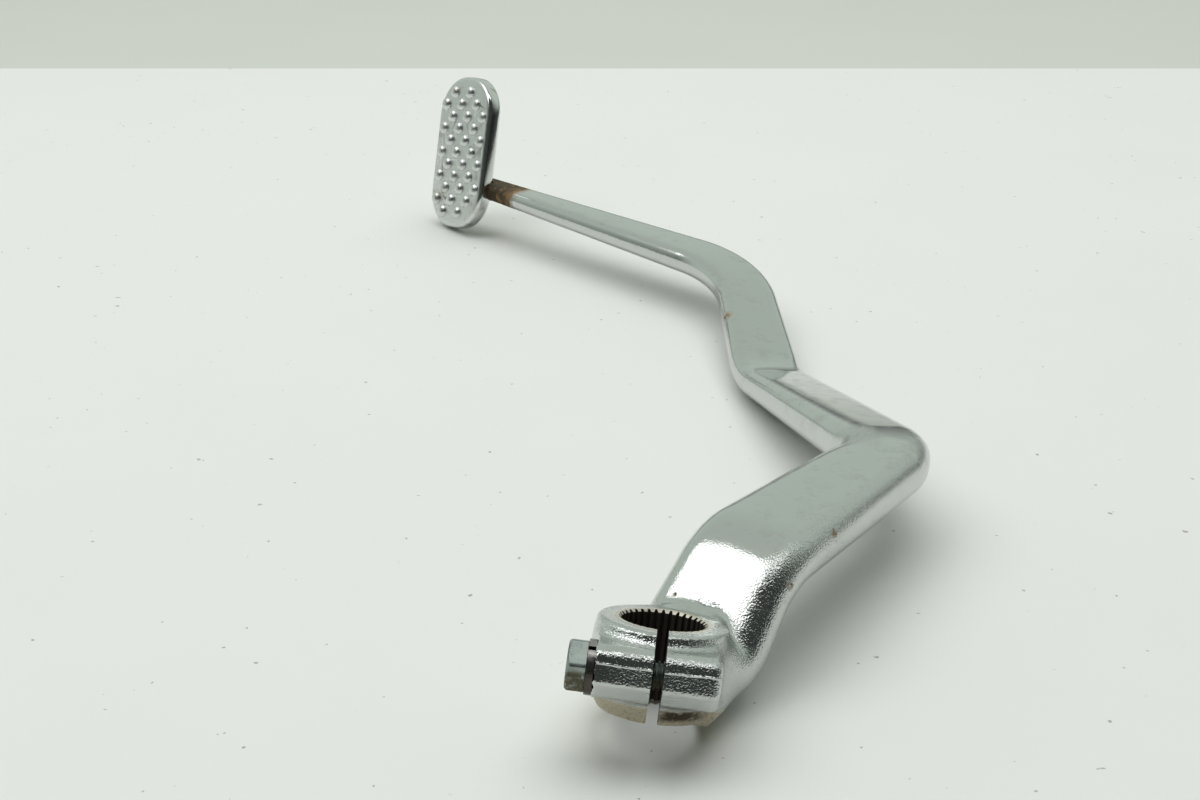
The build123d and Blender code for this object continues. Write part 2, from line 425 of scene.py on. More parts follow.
# The blank's skin drawn onto the blended form, evened out between pulls
points = np.empty(len(forged_mesh.vertices) * 3)
forged_mesh.vertices.foreach_get("co", points)
points = points.reshape(-1, 3)
edges = np.empty(len(forged_mesh.edges) * 2, int)
forged_mesh.edges.foreach_get("vertices", edges)
edges = edges.reshape(-1, 2)
links = np.bincount(edges.ravel(), minlength=len(points))[:, None]


def evened(values):
    """Each point moved half way to the middle of its neighbours."""
    total = np.empty_like(values)
    for axis in range(3):
        total[:, axis] = (np.bincount(edges[:, 0], values[edges[:, 1], axis], len(values))
                          + np.bincount(edges[:, 1], values[edges[:, 0], axis], len(values)))
    return (values + total / links) / 2


def drawn_on(values, nudge=0.04, least_steep=0.25, longest_pull=0.6):
    """Each point moved along the slope of the distance onto the form."""
    here = forging_distance(values)
    slope = np.empty_like(values)
    for axis in range(3):
        moved = values.copy()
        moved[:, axis] += nudge
        slope[:, axis] = (forging_distance(moved) - here) / nudge
    steep = np.maximum((slope ** 2).sum(1), least_steep)
    return values - slope * np.clip(here / steep, -longest_pull, longest_pull)[:, None]


for _ in range(3):
    points = drawn_on(evened(evened(points)))
points = drawn_on(drawn_on(points))

# The inside of the elbow, too tight for a wheel, rounded over by hand
inside_bend = unit(unit(shoulder - elbow) + unit(joggle - elbow))
inner_corner = elbow + inside_bend * corner_inside + np.array((0, 0, corner_rise))
by_corner = np.exp(-(((points - inner_corner) / corner_ease) ** 2).sum(1))[:, None]
for _ in range(corner_sweeps):
    points = points + (evened(points) - points) * by_corner
forged_mesh.vertices.foreach_set("co", points.ravel())
forged_mesh.update()
forging = bpy.data.objects.new("pedal_forging", forged_mesh)
bpy.context.scene.collection.objects.link(forging)

# Splined bore, as a broach-shaped cutter
spline_angles = []
spline_reach = []
for tooth in range(spline_teeth):
    middle = 2 * math.pi * tooth / spline_teeth
    mouth = groove_mouth / 2 / bore_radius
    floor_half = groove_root / 2 / (bore_radius + spline_depth)
    half_pitch = math.pi / spline_teeth
    for turn_by, reach in ((-half_pitch, 0), (-mouth, 0), (-floor_half, spline_depth),
                           (floor_half, spline_depth), (mouth, 0)):
        spline_angles.append(middle + turn_by)
        spline_reach.append(bore_radius + reach)
spline_angles = np.array(spline_angles)[:, None]
spline_reach = np.array(spline_reach)[:, None]
broach_rings = [spindle_axis * height
                + (np.cos(spline_angles) * bolt_axis + np.sin(spline_angles) * slit_back) * spline_reach
                for height in (-boss_height, boss_height)]
forging = cut(forging, solid_of("broach", (broach_rings,)))
mouth_rings = [circle_ring(spindle_axis * (boss_height / 2 + h), bolt_axis, slit_back,
                           bore_radius + bore_chamfer + h, mouth_sides)
               for h in (-bore_chamfer, bore_chamfer)]
forging = cut(forging, solid_of("countersink", (mouth_rings,)))

# Slit and bolt hole: clear in the ear under the head, tapped in the far ear
slit_rings = [np.array([spindle_axis * h + bolt_axis * x + slit_back * y
                        for x, y in ((-slit_width / 2, 0), (-slit_width / 2, -2 * boss_radius),
                                     (slit_width / 2, -2 * boss_radius), (slit_width / 2, 0))])
              for h in (-boss_height, boss_height)]
forging = cut(forging, solid_of("slitting_saw", (slit_rings,)))
drill_rings = [circle_ring(bolt_centre + bolt_axis * h, slit_back, spindle_axis,
                           bolt_radius + gap, drill_sides)
               for h, gap in ((-lug_length, bolt_clearance), (0, bolt_clearance),
                              (drill_step, thread_clearance), (lug_length, thread_clearance))]
forging = cut(forging, solid_of("drill", (drill_rings,)))


def pad_outline(inset, count=12):
    """The pad's rounded outline, drawn in by an inset, as places across and along it."""
    outline = []
    for turn_x, turn_y, start in ((1, 1, 0), (-1, 1, 90), (-1, -1, 180), (1, -1, 270)):
        for angle in np.radians(np.linspace(start, start + 90, count)):
            outline.append((turn_x * (pad_width / 2 - pad_corner) + math.cos(angle) * (pad_corner - inset),
                            turn_y * (pad_length / 2 - pad_corner) + math.sin(angle) * (pad_corner - inset)))
    return np.array(outline)


def pad_ring(inset, out):
    outline = pad_outline(inset)
    return pad_centre - outline[:, :1] * pad_across + outline[:, 1:] * spindle_axis + pad_out * out


forging = cut(forging, solid_of("pad_grinder", ([pad_ring(0, 0), pad_ring(0, pad_lap)],)))


def finished(made, name, smooth_angle):
    """The object scaled to metres and renamed, with smooth faces between its sharp edges."""
    made.name = name
    made.data.name = name
    made.data.transform(Matrix.Scale(mm, 4))
    made.data.polygons.foreach_set("use_smooth", [True] * len(made.data.polygons))
    made.data.set_sharp_from_angle(angle=math.radians(smooth_angle))
    made.data.update()
    return made


forging = finished(forging, "pedal_forging", smooth_angle=38)

# Where the forging is left rough, rusted, dirty or bare, stored point by point for its finish.
# A band runs from where a mark starts to where it is full, in millimetres or in shares of the bar.
rust_spots = ((39.5, 32.4, 12.9, 1.7), (27.9, 16.0, 9.5, 2.0), (4.2, 18.7, 5.4, 0.9), (9.0, 15.0, 5.4, 0.7),
              (26.9, 192.6, 0.6, 3.0))
lug_face_reach = (17.2, 18.6)
lug_face_foot = (-1.2, -0.2)
lug_face_head = (5.2, 6.4)
ring_wall_foot = (5.8, 6.6)
ring_wall_head = (8.8, 9.3)
ring_wall_inside = 12.5
ring_wall_outside = 15.0
ring_wall_reach = (2.0, 8.0)
ring_top_foot = (8.6, 9.2)
ring_top_edge = (11.5, 13.0)
boss_fade = (17.0, 26.0)
root_fade = (20.0, 27.0)
neck_fade = (42.0, 70.0)
arm_fade = (70.0, 130.0)
right_roll_band = (0.42, 0.74)
left_roll_band = (0.8, 1.0)
corner_haze = (4.0, 11.0)
rust_start = 6.0
rust_fade = (15.0, 24.0)
under_rim_height = (-6.1, -5.3)
under_rim_edge = (14.4, 15.4)
bore_lip = (0.9, 1.9)
rim_soil_left = (0.0, 2.5)
rim_soil_right = (8.0, 12.0)
rim_soil_foot = (-9.0, -7.6)
weld_soil_fade = (13.0, 21.0)
low_face_band = (-0.5, 0.3)
left_face_band = (-0.1, 0.6)
parting_fade = (0.9, 1.6)
parting_reach = 17.5
neck_coarse = 0.6
boss_peel = 0.3
ring_top_polish = 0.2
coarse_peel = 0.7
right_roll_peel = 0.25
root_roll_peel = 0.75
left_roll_peel = 0.3
root_peel = 0.3
lip_bare = 0.7
spot_count = len(forging.data.vertices)
spots = np.empty(spot_count * 3)
forging.data.vertices.foreach_get("co", spots)
spots = spots.reshape(-1, 3) / mm


def eased(values, low, high):
    share = np.clip((values - low) / (high - low), 0, 1)
    return share * share * (3 - 2 * share)


spot_height = spots @ spindle_axis
spot_radius = np.linalg.norm(spots - spot_height[:, None] * spindle_axis, axis=1)
spot_across = spots @ bolt_axis
to_front = -(spots @ slit_back)
from_pad = np.linalg.norm(spots - (lap_start + along * rust_start), axis=1)
section_x, section_y, half_width, half_thick, _ = bar_section(spots)

lug_face = eased(spot_height, *lug_face_foot) * (1 - eased(spot_height, *lug_face_head))
lug_face = lug_face * eased(to_front, *lug_face_reach)
ring_wall = eased(spot_height, *ring_wall_foot) * (1 - eased(spot_height, *ring_wall_head))
ring_wall = ring_wall * (spot_radius > ring_wall_inside) * (spot_radius < ring_wall_outside)
ring_wall = ring_wall * eased(to_front, *ring_wall_reach)
ring_top = eased(spot_height, *ring_top_foot) * (1 - eased(spot_radius, *ring_top_edge))
on_boss = 1 - eased(spot_radius, *boss_fade)
by_root = 1 - eased(spot_radius, *root_fade)
near_root = 1 - eased(spot_radius, *arm_fade)
right_roll = eased(section_x / half_width, *right_roll_band)
left_roll = eased(-section_x / half_width, *left_roll_band)
on_neck = right_roll * (1 - eased(spot_radius, *neck_fade))
in_corner = 1 - eased(np.linalg.norm(spots - inner_corner, axis=1), *corner_haze)
coarse = np.clip(lug_face + ring_wall + neck_coarse * on_neck, 0, 1)
peel = on_boss * (boss_peel - ring_top_polish * ring_top + coarse_peel * coarse)
peel = peel + right_roll * (right_roll_peel + root_roll_peel * near_root) + left_roll_peel * left_roll
peel = np.clip(peel + root_peel * by_root + in_corner, 0, 1)

rust = 1 - eased(from_pad, *rust_fade)
flecks = np.zeros(spot_count)
for x, y, z, size in rust_spots:
    flecks = np.maximum(flecks, 1 - eased(np.linalg.norm(spots - (x, y, z), axis=1), 0, size))
under_rim = (1 - eased(spot_height, *under_rim_height)) * (1 - eased(spot_radius, *under_rim_edge))
on_lip = ring_top * (1 - eased(spot_radius - bore_radius, *bore_lip))
bare = np.clip(under_rim + lip_bare * on_lip, 0, 1)
rim_soil = eased(spot_across, *rim_soil_left) * (1 - eased(spot_across, *rim_soil_right))
rim_soil = rim_soil * under_rim * eased(spot_height, *rim_soil_foot)
weld_soil = np.maximum(eased(-section_y / half_thick, *low_face_band),
                       eased(-section_x / half_width, *left_face_band))
weld_soil = weld_soil * (1 - eased(from_pad, *weld_soil_fade))
soil = np.maximum(rim_soil, weld_soil)
parting = 1 - eased(np.abs(spot_height - bolt_rise - parting_rise), *parting_fade)
parting = parting * (to_front > parting_reach)
masks = (("peel", peel), ("coarse", coarse), ("rust", rust), ("bare", bare), ("soil", soil),
         ("parting", parting), ("flecks", flecks))
for name, values in masks:
    mask = forging.data.attributes.new(name, "FLOAT", "POINT")
    mask.data.foreach_set("value", np.ascontiguousarray(values, dtype=np.float32))

# The walls of the bore and the slit, face by face, which hold old grease
bore_slack = 0.1
slit_slack = 0.05
slit_reach = 24.0
wall_limit = 0.5
bore_grime = 1.0
slit_grime = 0.85
face_count = len(forging.data.polygons)
middles = np.empty(face_count * 3)
normals = np.empty(face_count * 3)
forging.data.polygons.foreach_get("center", middles)
forging.data.polygons.foreach_get("normal", normals)
middles = middles.reshape(-1, 3) / mm
normals = normals.reshape(-1, 3)
middle_height = middles @ spindle_axis
middle_radius = np.linalg.norm(middles - middle_height[:, None] * spindle_axis, axis=1)
upright = np.abs(normals @ spindle_axis) < wall_limit
in_bore = upright & (middle_radius < bore_radius + spline_depth + bore_slack)
in_bore = in_bore & (np.abs(middle_height) < boss_height / 2)
in_slit = (np.abs(middles @ bolt_axis) < slit_width / 2 + slit_slack) & (middles @ slit_back < 0)
in_slit = in_slit & (middle_radius < slit_reach)
grime = np.maximum(in_bore * bore_grime, in_slit * slit_grime)
mask = forging.data.attributes.new("grime", "FLOAT", "FACE")
mask.data.foreach_set("value", np.ascontiguousarray(grime, dtype=np.float32))


class Finish:
    """A material under construction: its nodes are added one after another and wired by socket name."""

    def __init__(self, name):
        self.material = bpy.data.materials.new(name)
        self.material.use_nodes = True
        self.tree = self.material.node_tree
        self.shader = self.tree.nodes["Principled BSDF"]
        self.place = self.add("ShaderNodeTexCoord").outputs["Object"]

    def add(self, kind, wires=(), **settings):
        made = self.tree.nodes.new(kind)
        for key, value in settings.items():
            setattr(made, key, value)
        for socket, source in dict(wires).items():
            if hasattr(source, "is_output"):
                self.tree.links.new(source, made.inputs[socket])
            else:
                made.inputs[socket].default_value = source
        return made

    def noise(self, scale, detail, roughness):
        wires = {"Vector": self.place, "Scale": scale, "Detail": detail, "Roughness": roughness}
        return self.add("ShaderNodeTexNoise", wires).outputs["Fac"]

    def combine(self, how, first, second):
        return self.add("ShaderNodeMath", {0: first, 1: second}, operation=how).outputs[0]

    def ranged(self, source, low, high, to_low=0.0, to_high=1.0):
        return self.add("ShaderNodeMapRange", {"Value": source, "From Min": low, "From Max": high,
                                               "To Min": to_low, "To Max": to_high}).outputs["Result"]

    def mixed(self, share, first, second):
        made = self.add("ShaderNodeMix", data_type="RGBA")
        for socket, value in ((made.inputs[0], share), (made.inputs[6], first), (made.inputs[7], second)):
            if hasattr(value, "is_output"):
                self.tree.links.new(value, socket)
            else:
                socket.default_value = value
        return made.outputs[2]

    def mask(self, name):
        return self.add("ShaderNodeAttribute", attribute_name=name).outputs["Fac"]

    def up_spindle(self):
        """How far along the spindle each place lies, in metres."""
        wires = {0: self.place, 1: tuple(spindle_axis)}
        return self.add("ShaderNodeVectorMath", wires, operation="DOT_PRODUCT").outputs["Value"]

    def drive(self, socket, source):
        self.tree.links.new(source, self.shader.inputs[socket])

    def emboss(self, height):
        """Wires a height in metres to the shader as relief."""
        bump = self.add("ShaderNodeBump", {"Height": height, "Distance": 1.0})
        self.drive("Normal", bump.outputs["Normal"])


chrome_colour = (0.60, 0.62, 0.605, 1)
smudge_colour = (0.47, 0.48, 0.45, 1)
rust_colour = (0.13, 0.08, 0.033, 1)
fresh_rust_colour = (0.30, 0.185, 0.07, 1)
# Bare metal on the under rim and bore lip, lightened to cream as a painted reflection of the bench.
bare_and_reflection_colour = (0.56, 0.50, 0.38, 1)
bare_speck_colour = (0.27, 0.23, 0.15, 1)
soil_colour = (0.045, 0.03, 0.012, 1)
grime_colour = (0.034, 0.026, 0.02, 1)
rust_gain = 1.6
fine_grain_height = 0.00011
coarse_grain_height = 0.00018
wave_height = 0.000018
ridge_half_width = 0.00026
ridge_height = 0.00013
ridge_wander = 0.0004
pit_height = 0.00012
peel_haze = 0.05
dull_metallic = 0.25
dull_roughness = 0.62

chrome = Finish("chromed_forging")
peel_mask = chrome.mask("peel")
grain = chrome.noise(scale=2500, detail=1.5, roughness=0.5)
waves = chrome.noise(scale=90, detail=1.0, roughness=0.4)
scuffs = chrome.noise(scale=260, detail=4.0, roughness=0.7)
blotch = chrome.noise(scale=420, detail=3.0, roughness=0.65)
rust_edge = chrome.combine("SUBTRACT", chrome.combine("MULTIPLY", chrome.mask("rust"), rust_gain), blotch)
fleck_edge = chrome.ranged(chrome.noise(scale=1700, detail=2.0, roughness=0.6), 0.36, 0.58)
flecked = chrome.combine("MULTIPLY", chrome.mask("flecks"), fleck_edge)
rusted = chrome.combine("MAXIMUM", chrome.ranged(rust_edge, -0.15, 0.6), chrome.ranged(flecked, 0.06, 0.45))
soiled = chrome.combine("MULTIPLY", chrome.mask("soil"), chrome.ranged(blotch, 0.30, 0.50))
bare_edge = chrome.ranged(chrome.noise(scale=700, detail=3.0, roughness=0.7), 0.12, 0.34)
bared = chrome.combine("MULTIPLY", chrome.mask("bare"), bare_edge)
bare_specks = chrome.ranged(chrome.noise(scale=1500, detail=3.0, roughness=0.7), 0.52, 0.70)
dirty = chrome.mask("grime")
smudges = chrome.ranged(chrome.noise(scale=130, detail=5.0, roughness=0.75), 0.53, 0.72, to_high=0.6)

rust_tint = chrome.mixed(chrome.ranged(scuffs, 0.38, 0.62), rust_colour, fresh_rust_colour)
# The bare tint is bare metal plus a painted reflection of the bench.
bare_and_reflection_tint = chrome.mixed(bare_specks, bare_and_reflection_colour, bare_speck_colour)
tint = chrome.mixed(smudges, chrome_colour, smudge_colour)
tint = chrome.mixed(rusted, tint, rust_tint)
tint = chrome.mixed(bared, tint, bare_and_reflection_tint)
tint = chrome.mixed(soiled, tint, soil_colour)
chrome.drive("Base Color", chrome.mixed(dirty, tint, grime_colour))
dull = chrome.combine("MAXIMUM", chrome.combine("MAXIMUM", rusted, bared),
                      chrome.combine("MAXIMUM", soiled, dirty))
chrome.drive("Metallic", chrome.ranged(dull, 0.0, 1.0, to_low=1.0, to_high=dull_metallic))
smear = chrome.ranged(scuffs, 0.45, 0.75, to_low=0.07, to_high=0.16)
satin = chrome.combine("ADD", smear, chrome.combine("MULTIPLY", peel_mask, peel_haze))
matt = chrome.ranged(dull, 0.0, 1.0, to_high=dull_roughness)
chrome.drive("Roughness", chrome.combine("MAXIMUM", satin, matt))

grain_height = chrome.ranged(chrome.mask("coarse"), 0.0, 1.0, fine_grain_height, coarse_grain_height)
peeled = chrome.combine("MULTIPLY", chrome.combine("MULTIPLY", grain, peel_mask), grain_height)
waved = chrome.combine("MULTIPLY", waves, wave_height)
wander = chrome.noise(scale=160, detail=1.0, roughness=0.5)
wander = chrome.ranged(wander, 0.0, 1.0, -ridge_wander, ridge_wander)
off_line = chrome.combine("SUBTRACT", chrome.up_spindle(), (bolt_rise + parting_rise) * mm)
off_line = chrome.combine("ABSOLUTE", chrome.combine("ADD", off_line, wander), 0.0)
ridge = chrome.combine("MULTIPLY", chrome.ranged(off_line, ridge_half_width, 0.0), chrome.mask("parting"))
waved = chrome.combine("ADD", waved, chrome.combine("MULTIPLY", ridge, ridge_height))
pitted = chrome.combine("MULTIPLY", chrome.combine("MULTIPLY", blotch, dull), pit_height)
chrome.emboss(chrome.combine("ADD", chrome.combine("ADD", peeled, waved), pitted))
forging.data.materials.clear()
forging.data.materials.append(chrome.material)
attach(forging, "root")
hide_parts("pedal_arm")

# Foot pad: a round-ended steel plate with eased rims, its working face pressed into rows of grip studs.
# It stands on edge across the thin end of the arm, welded along its back, and is chrome plated with it.
pad_rim = 1.5
stud_radius = 2.6
stud_sides = 20
stud_row_pitch = 4.45
stud_column_pitch = 4.7
stud_rows = 11
stud_columns = 6
stud_margin = 0.4
trodden_depth = (0.5, 0.05)
pad_colour = (0.70, 0.72, 0.705, 1)
pad_dirt_colour = (0.46, 0.44, 0.39, 1)
pad_polish = 0.11
pad_grain_height = 0.00003
rim_grain_share = 0.1
stud_profile = ((2.85, -0.6), (2.5, 0.0), (2.33, 0.34), (2.05, 0.70), (1.66, 1.0), (1.18, 1.2), (0.6, 1.3))

rim_turns = np.radians(np.linspace(0, 90, 6))
pad_rings = [pad_ring(pad_rim * (1 - math.sin(a)), pad_rim * (1 - math.cos(a))) for a in rim_turns]
pad_rings += [pad_ring(pad_rim * (1 - math.cos(a)), pad_thickness - pad_rim * (1 - math.sin(a)))
              for a in rim_turns]
foot_pad = solid_of("studded_pad", (pad_rings,))
stud_stacks = []
for row in range(stud_rows):
    for column in range(row % 2, stud_columns, 2):
        stud_x = (stud_columns - 1 - 2 * column) / 2 * stud_column_pitch
        stud_y = (stud_rows - 1 - 2 * row) / 2 * stud_row_pitch
        past_side = max(abs(stud_x) - pad_width / 2 + pad_corner, 0)
        past_end = max(abs(stud_y) - pad_length / 2 + pad_corner, 0)
        if math.hypot(past_side, past_end) <= pad_corner - stud_radius - stud_margin:
            stud_place = pad_centre - pad_across * stud_x + spindle_axis * stud_y
            stud_stacks.append([circle_ring(stud_place + pad_out * (pad_thickness + h), pad_across,
                                            spindle_axis, r, stud_sides)
                                for r, h in stud_profile])
foot_pad = cut(foot_pad, solid_of("grip_studs", stud_stacks), "UNION")
foot_pad = finished(foot_pad, "studded_pad", smooth_angle=50)

# The working face, scuffed by boots; the rim keeps its polish
face_out = np.empty(len(foot_pad.data.vertices) * 3)
foot_pad.data.vertices.foreach_get("co", face_out)
face_out = (face_out.reshape(-1, 3) / mm - pad_centre) @ pad_out
mask = foot_pad.data.attributes.new("trodden", "FLOAT", "POINT")
trodden_share = eased(face_out - pad_thickness, -trodden_depth[0], -trodden_depth[1])
mask.data.foreach_set("value", trodden_share.astype(np.float32))

pad_chrome = Finish("chromed_pad")
pad_wear = pad_chrome.noise(scale=330, detail=4.0, roughness=0.65)
pad_dirt = pad_chrome.ranged(pad_chrome.noise(scale=180, detail=3.0, roughness=0.6), 0.58, 0.74)
pad_chrome.drive("Base Color", pad_chrome.mixed(pad_dirt, pad_colour, pad_dirt_colour))
trodden = pad_chrome.mask("trodden")
pad_scuff = pad_chrome.ranged(pad_wear, 0.35, 0.7, to_low=0.18, to_high=0.30)
pad_scuff = pad_chrome.combine("MULTIPLY", pad_scuff, trodden)
pad_chrome.drive("Roughness", pad_chrome.combine("ADD", pad_scuff, pad_polish))
pad_chrome.shader.inputs["Metallic"].default_value = 1.0
pad_grain = pad_chrome.noise(scale=900, detail=2.0, roughness=0.5)
pad_grain = pad_chrome.combine("MULTIPLY", pad_grain, pad_grain_height)
pad_grain_share = pad_chrome.combine("ADD", trodden, rim_grain_share)
pad_chrome.emboss(pad_chrome.combine("MULTIPLY", pad_grain, pad_grain_share))
foot_pad.data.materials.clear()
foot_pad.data.materials.append(pad_chrome.material)
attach(foot_pad, "root")
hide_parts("foot_pad")

# Spring washer: a split ring of rectangular section under the bolt head, dark spring steel with painted shade
# below.
# It is threaded on the bolt and nipped against the spot face of the lug.
washer = frame["nodes"]["spring_washer"]
washer_edge_width = 0.18
washer_painted_shade_rise = (2.5, -0.5)
washer_light_colour = (0.42, 0.41, 0.39, 1)
washer_dark_colour = (0.26, 0.255, 0.245, 1)
washer_painted_shade_colour = (0.085, 0.075, 0.065, 1)
washer_grain_height = 0.00004
washer_steel = Finish("dark_washer")
washer_shade = washer_steel.noise(scale=700, detail=3.0, roughness=0.6)
# Darker towards the lower half, by height along the spindle: painted shade.
washer_low_painted_shade = washer_steel.ranged(washer_steel.up_spindle(), (bolt_rise + washer_painted_shade_rise[0]) * mm,
                                 (bolt_rise + washer_painted_shade_rise[1]) * mm)
washer_tint = washer_steel.mixed(washer_shade, washer_dark_colour, washer_light_colour)
washer_steel.drive("Base Color", washer_steel.mixed(washer_low_painted_shade, washer_tint, washer_painted_shade_colour))
washer_steel.drive("Roughness", washer_steel.ranged(washer_shade, 0.3, 0.7, to_low=0.18, to_high=0.36))
washer_steel.shader.inputs["Metallic"].default_value = 1.0
washer_grain = washer_steel.noise(scale=1800, detail=2.0, roughness=0.5)
washer_steel.emboss(washer_steel.combine("MULTIPLY", washer_grain, washer_grain_height))
washer.data.materials.clear()
washer.data.materials.append(washer_steel.material)
washer_edge = washer.modifiers.new("broken_edges", "BEVEL")
washer_edge.width = washer_edge_width * mm
washer_edge.segments = 2
washer_edge.limit_method = "ANGLE"

# Pinch bolt: a hex-head bolt, cold headed with a bevelled top, thread rolled and zinc plated.
# It passes clear through the near ear and draws the far ear up on its thread; its lower flats hold painted
# shade.
washer_thickness = 1.5
head_across_flats = 10.0
head_height = 4.0
head_face_radius = 4.6
head_bevel = 30.0
head_turn = -12.0
bearing_margin = 0.2
under_edge = 0.12
bevel_ease = 0.1
crown_drop = 0.02
crown_inset = 0.3
tip_inset = 0.6
tip_chamfer = 0.8
thread_start = -0.5
thread_pitch = 1.0
thread_depth = 0.55
thread_sides = 32
thread_steps = 6
crest_clearance = 0.02
groove_floor = 1.25
groove_flank = 2.9
length_slack = 0.001
seat = bolt_centre - bolt_axis * (lug_length / 2 + washer_thickness)
shank_length = washer_thickness + lug_length - tip_inset

head_angles = np.radians(np.arange(0, 360, 5))
flat_turn = (np.degrees(head_angles) - head_turn) % 60 - 30
hex_reach = head_across_flats / 2 / np.cos(np.radians(flat_turn))
head_cos = np.cos(head_angles)[:, None]
head_sin = np.sin(head_angles)[:, None]


def head_ring(reach, down):
    reach = np.broadcast_to(np.asarray(reach, float), head_angles.shape)[:, None]
    down = np.broadcast_to(np.asarray(down, float), head_angles.shape)[:, None]
    return seat + (head_cos * slit_back + head_sin * spindle_axis) * reach - bolt_axis * down


bevel_drop = np.maximum(hex_reach - head_face_radius, 0) * math.tan(math.radians(head_bevel))
head_rings = [
    head_ring(head_face_radius + bearing_margin, 0.0),
    head_ring(hex_reach - under_edge, 0.0),
    head_ring(hex_reach, under_edge),
    head_ring(hex_reach, head_height - bevel_drop - bevel_ease),
    head_ring(np.minimum(hex_reach, head_face_radius + bevel_ease), head_height - crown_drop),
    head_ring(head_face_radius - crown_inset, head_height),
]
thread_rings = []
thread_turns = np.linspace(0, 2 * math.pi, thread_sides, endpoint=False)
thread_ways = np.cos(thread_turns)[:, None] * slit_back + np.sin(thread_turns)[:, None] * spindle_axis
for rise in np.arange(thread_start, shank_length + length_slack, thread_pitch / thread_steps):
    phase = (rise / thread_pitch - thread_turns / (2 * math.pi)) % 1
    groove = np.clip(groove_floor - np.abs(phase - 0.5) * groove_flank, 0, 1)
    tip = max(0.0, rise - shank_length + tip_chamfer)
    reach = np.minimum(bolt_radius - crest_clearance - thread_depth * groove, bolt_radius - tip)[:, None]
    thread_rings.append(seat + bolt_axis * rise + thread_ways * reach)
bolt = solid_of("pinch_bolt_threaded", (head_rings,))
bolt = cut(bolt, solid_of("rolled_thread", (thread_rings,)), "UNION")
bolt = finished(bolt, "pinch_bolt_threaded", smooth_angle=25)

zinc_dark_colour = (0.20, 0.235, 0.22, 1)
zinc_light_colour = (0.34, 0.385, 0.36, 1)
bolt_painted_shade_colour = (0.12, 0.105, 0.065, 1)
bolt_painted_shade_rise = (0.4, -0.6)
zinc_grain_height = 0.00004
zinc = Finish("zinc_bolt")
zinc_shade = zinc.noise(scale=300, detail=3.0, roughness=0.6)
# The lower flats are darkened in patches, by height along the spindle: painted shade.
lower_flats = zinc.ranged(zinc.up_spindle(), (bolt_rise + bolt_painted_shade_rise[0]) * mm,
                          (bolt_rise + bolt_painted_shade_rise[1]) * mm)
shade_patch_edge = zinc.ranged(zinc.noise(scale=900, detail=4.0, roughness=0.7), 0.36, 0.50)
lower_flat_painted_shade = zinc.combine("MULTIPLY", lower_flats, shade_patch_edge)
zinc_tint = zinc.mixed(zinc.ranged(zinc_shade, 0.35, 0.65), zinc_dark_colour, zinc_light_colour)
zinc.drive("Base Color", zinc.mixed(lower_flat_painted_shade, zinc_tint, bolt_painted_shade_colour))
zinc.drive("Metallic", zinc.ranged(lower_flat_painted_shade, 0.0, 1.0, to_low=0.95, to_high=0.3))
zinc_wear = zinc.combine("MAXIMUM", lower_flat_painted_shade, zinc.ranged(zinc_shade, 0.35, 0.7, to_high=0.4))
zinc.drive("Roughness", zinc.ranged(zinc_wear, 0.0, 1.0, to_low=0.26, to_high=0.62))
zinc_grain = zinc.noise(scale=1400, detail=3.0, roughness=0.6)
zinc.emboss(zinc.combine("MULTIPLY", zinc_grain, zinc_grain_height))
bolt.data.materials.clear()
bolt.data.materials.append(zinc.material)
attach(bolt, "root")
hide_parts("pinch_bolt")

# Bench: a white laminate top which the pedal lies on; beyond its back edge a panel whose grey is painted
# shade.
# It is faintly stained and specked with dust.
bench_z = cad_box[0][2]
bench_back = 0.564
bench_front = -4.0
bench_side = 4.0
sill_back = 4.0
laminate_colour = (0.775, 0.79, 0.765, 1)
laminate_pale_colour = (0.805, 0.82, 0.79, 1)
dust_colour = (0.42, 0.40, 0.35, 1)
sill_shade_colour = (0.59, 0.615, 0.565, 1)
sill_pale_shade_colour = (0.62, 0.64, 0.595, 1)
laminate_roughness = 0.55
sill_roughness = 0.7


def plain_panel(name, corners):
    mesh = bpy.data.meshes.new(name)
    mesh.from_pydata(corners, [], [(0, 1, 2, 3)])
    panel = bpy.data.objects.new(name, mesh)
    bpy.context.scene.collection.objects.link(panel)
    return panel


bench = plain_panel("bench_top", [(-bench_side, bench_front, bench_z), (bench_side, bench_front, bench_z),
                                  (bench_side, bench_back, bench_z), (-bench_side, bench_back, bench_z)])
laminate = Finish("white_laminate")
stain = laminate.noise(scale=14, detail=3.0, roughness=0.6)
dust = laminate.ranged(laminate.noise(scale=420, detail=1.0, roughness=0.4), 0.785, 0.825)
laminate_tint = laminate.mixed(stain, laminate_colour, laminate_pale_colour)
laminate.drive("Base Color", laminate.mixed(dust, laminate_tint, dust_colour))
laminate.shader.inputs["Roughness"].default_value = laminate_roughness
bench.data.materials.append(laminate.material)

# Behind the bench: a flat panel at bench height whose darker colour is painted shade.
sill = plain_panel("bench_sill", [(-bench_side, bench_back, bench_z), (bench_side, bench_back, bench_z),
                                  (bench_side, sill_back, bench_z), (-bench_side, sill_back, bench_z)])
sill_painted_shade = Finish("sill_painted_shade")
sill_stain = sill_painted_shade.noise(scale=9, detail=2.0, roughness=0.5)
sill_shade_tint = sill_painted_shade.mixed(sill_stain, sill_shade_colour, sill_pale_shade_colour)
sill_painted_shade.drive("Base Color", sill_shade_tint)
sill_painted_shade.shader.inputs["Roughness"].default_value = sill_roughness
sill.data.materials.append(sill_painted_shade.material)

# Light: a round soft panel up to the left, a lamp overhead and a broad ceiling that reflections leave out,
# in a grey-green room that is dark to the front.
bpy.context.scene.view_settings.view_transform = "Standard"
aim = Vector((0.02, 0.05, 0.0))
left_way = Vector((-0.52, 0.04, 0.85))
left_distance = 1.5
ceiling_place = Vector((0.18, 0.85, 1.5))
lamp_place = Vector((0.31, 0.29, 1.5))


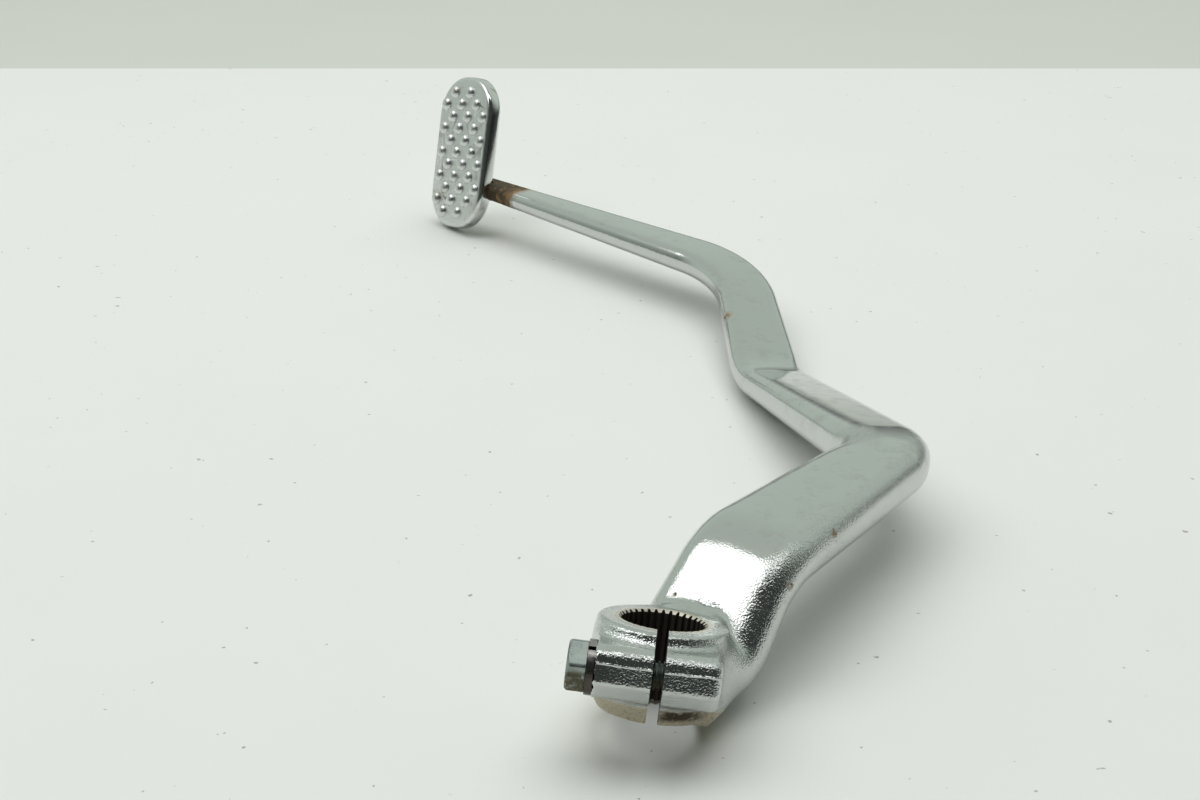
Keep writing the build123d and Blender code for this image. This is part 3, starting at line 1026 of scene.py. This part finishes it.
def soft_panel(name, shape, place, target, size_x, size_y, power):
    lamp = bpy.data.lights.new(name, "AREA")
    lamp.shape = shape
    lamp.size = size_x
    lamp.size_y = size_y
    lamp.energy = power
    holder = bpy.data.objects.new(name, lamp)
    holder.location = place
    holder.rotation_euler = (target - place).to_track_quat("-Z", "Y").to_euler()
    bpy.context.scene.collection.objects.link(holder)
    return holder


def below(place):
    return Vector((place.x, place.y, 0.0))


left_place = aim + left_way.normalized() * left_distance
soft_panel("left_panel", "ELLIPSE", left_place, aim, size_x=1.20, size_y=1.10, power=7.0)
ceiling = soft_panel("ceiling_panel", "RECTANGLE", ceiling_place, below(ceiling_place),
                     size_x=1.70, size_y=1.50, power=9.6)
ceiling.visible_glossy = False
soft_panel("lamp_panel", "RECTANGLE", lamp_place, below(lamp_place), size_x=1.10, size_y=0.98, power=6.6)

horizon_colour = (0.20, 0.215, 0.20, 1)
zenith_colour = (0.55, 0.59, 0.545, 1)
wall_colours = ((0.20, (0.585, 0.655, 0.592, 1)), (0.62, (0.555, 0.62, 0.56, 1)))
room_up = (-0.16, 0.0, 1.0)
front_reach = 0.32
front_dark = 0.09
room = bpy.data.worlds.new("room")
bpy.context.scene.world = room
room.use_nodes = True
room_nodes = room.node_tree.nodes
room_links = room.node_tree.links
room_way = room_nodes.new("ShaderNodeTexCoord").outputs["Generated"]
room_height = room_nodes.new("ShaderNodeVectorMath")
room_height.operation = "DOT_PRODUCT"
room_height.inputs[1].default_value = room_up
room_links.new(room_way, room_height.inputs[0])
height_ramp = room_nodes.new("ShaderNodeValToRGB")
height_ramp.color_ramp.elements[0].position = 0.0
height_ramp.color_ramp.elements[0].color = horizon_colour
height_ramp.color_ramp.elements[1].position = 1.0
height_ramp.color_ramp.elements[1].color = zenith_colour
for position, colour in wall_colours:
    height_ramp.color_ramp.elements.new(position).color = colour
room_links.new(room_height.outputs["Value"], height_ramp.inputs["Fac"])
room_parts = room_nodes.new("ShaderNodeSeparateXYZ")
room_links.new(room_way, room_parts.inputs[0])
front_shade = room_nodes.new("ShaderNodeMapRange")
front_shade.interpolation_type = "SMOOTHSTEP"
front_shade.inputs["From Min"].default_value = -front_reach
front_shade.inputs["From Max"].default_value = front_reach
front_shade.inputs["To Min"].default_value = front_dark
front_shade.inputs["To Max"].default_value = 1.0
room_links.new(room_parts.outputs["Y"], front_shade.inputs["Value"])
shaded = room_nodes.new("ShaderNodeVectorMath")
shaded.operation = "SCALE"
room_links.new(height_ramp.outputs["Color"], shaded.inputs[0])
room_links.new(front_shade.outputs["Result"], shaded.inputs["Scale"])
room_links.new(shaded.outputs[0], room_nodes["Background"].inputs["Color"])

# Camera: low over the near end of the bench, looking along the arm
camera_place = (-0.0119, -0.2959, 0.1966)
camera_tilt = 24.75
camera_data = bpy.data.cameras.new("camera")
camera_data.sensor_width = 36.0
camera_data.lens = 51.0
camera_data.clip_start = 0.01
camera = bpy.data.objects.new("camera", camera_data)
camera.location = camera_place
camera.rotation_euler = (math.radians(90 - camera_tilt), 0, 0)
bpy.context.scene.collection.objects.link(camera)
bpy.context.scene.camera = camera

bpy.context.view_layer.update()
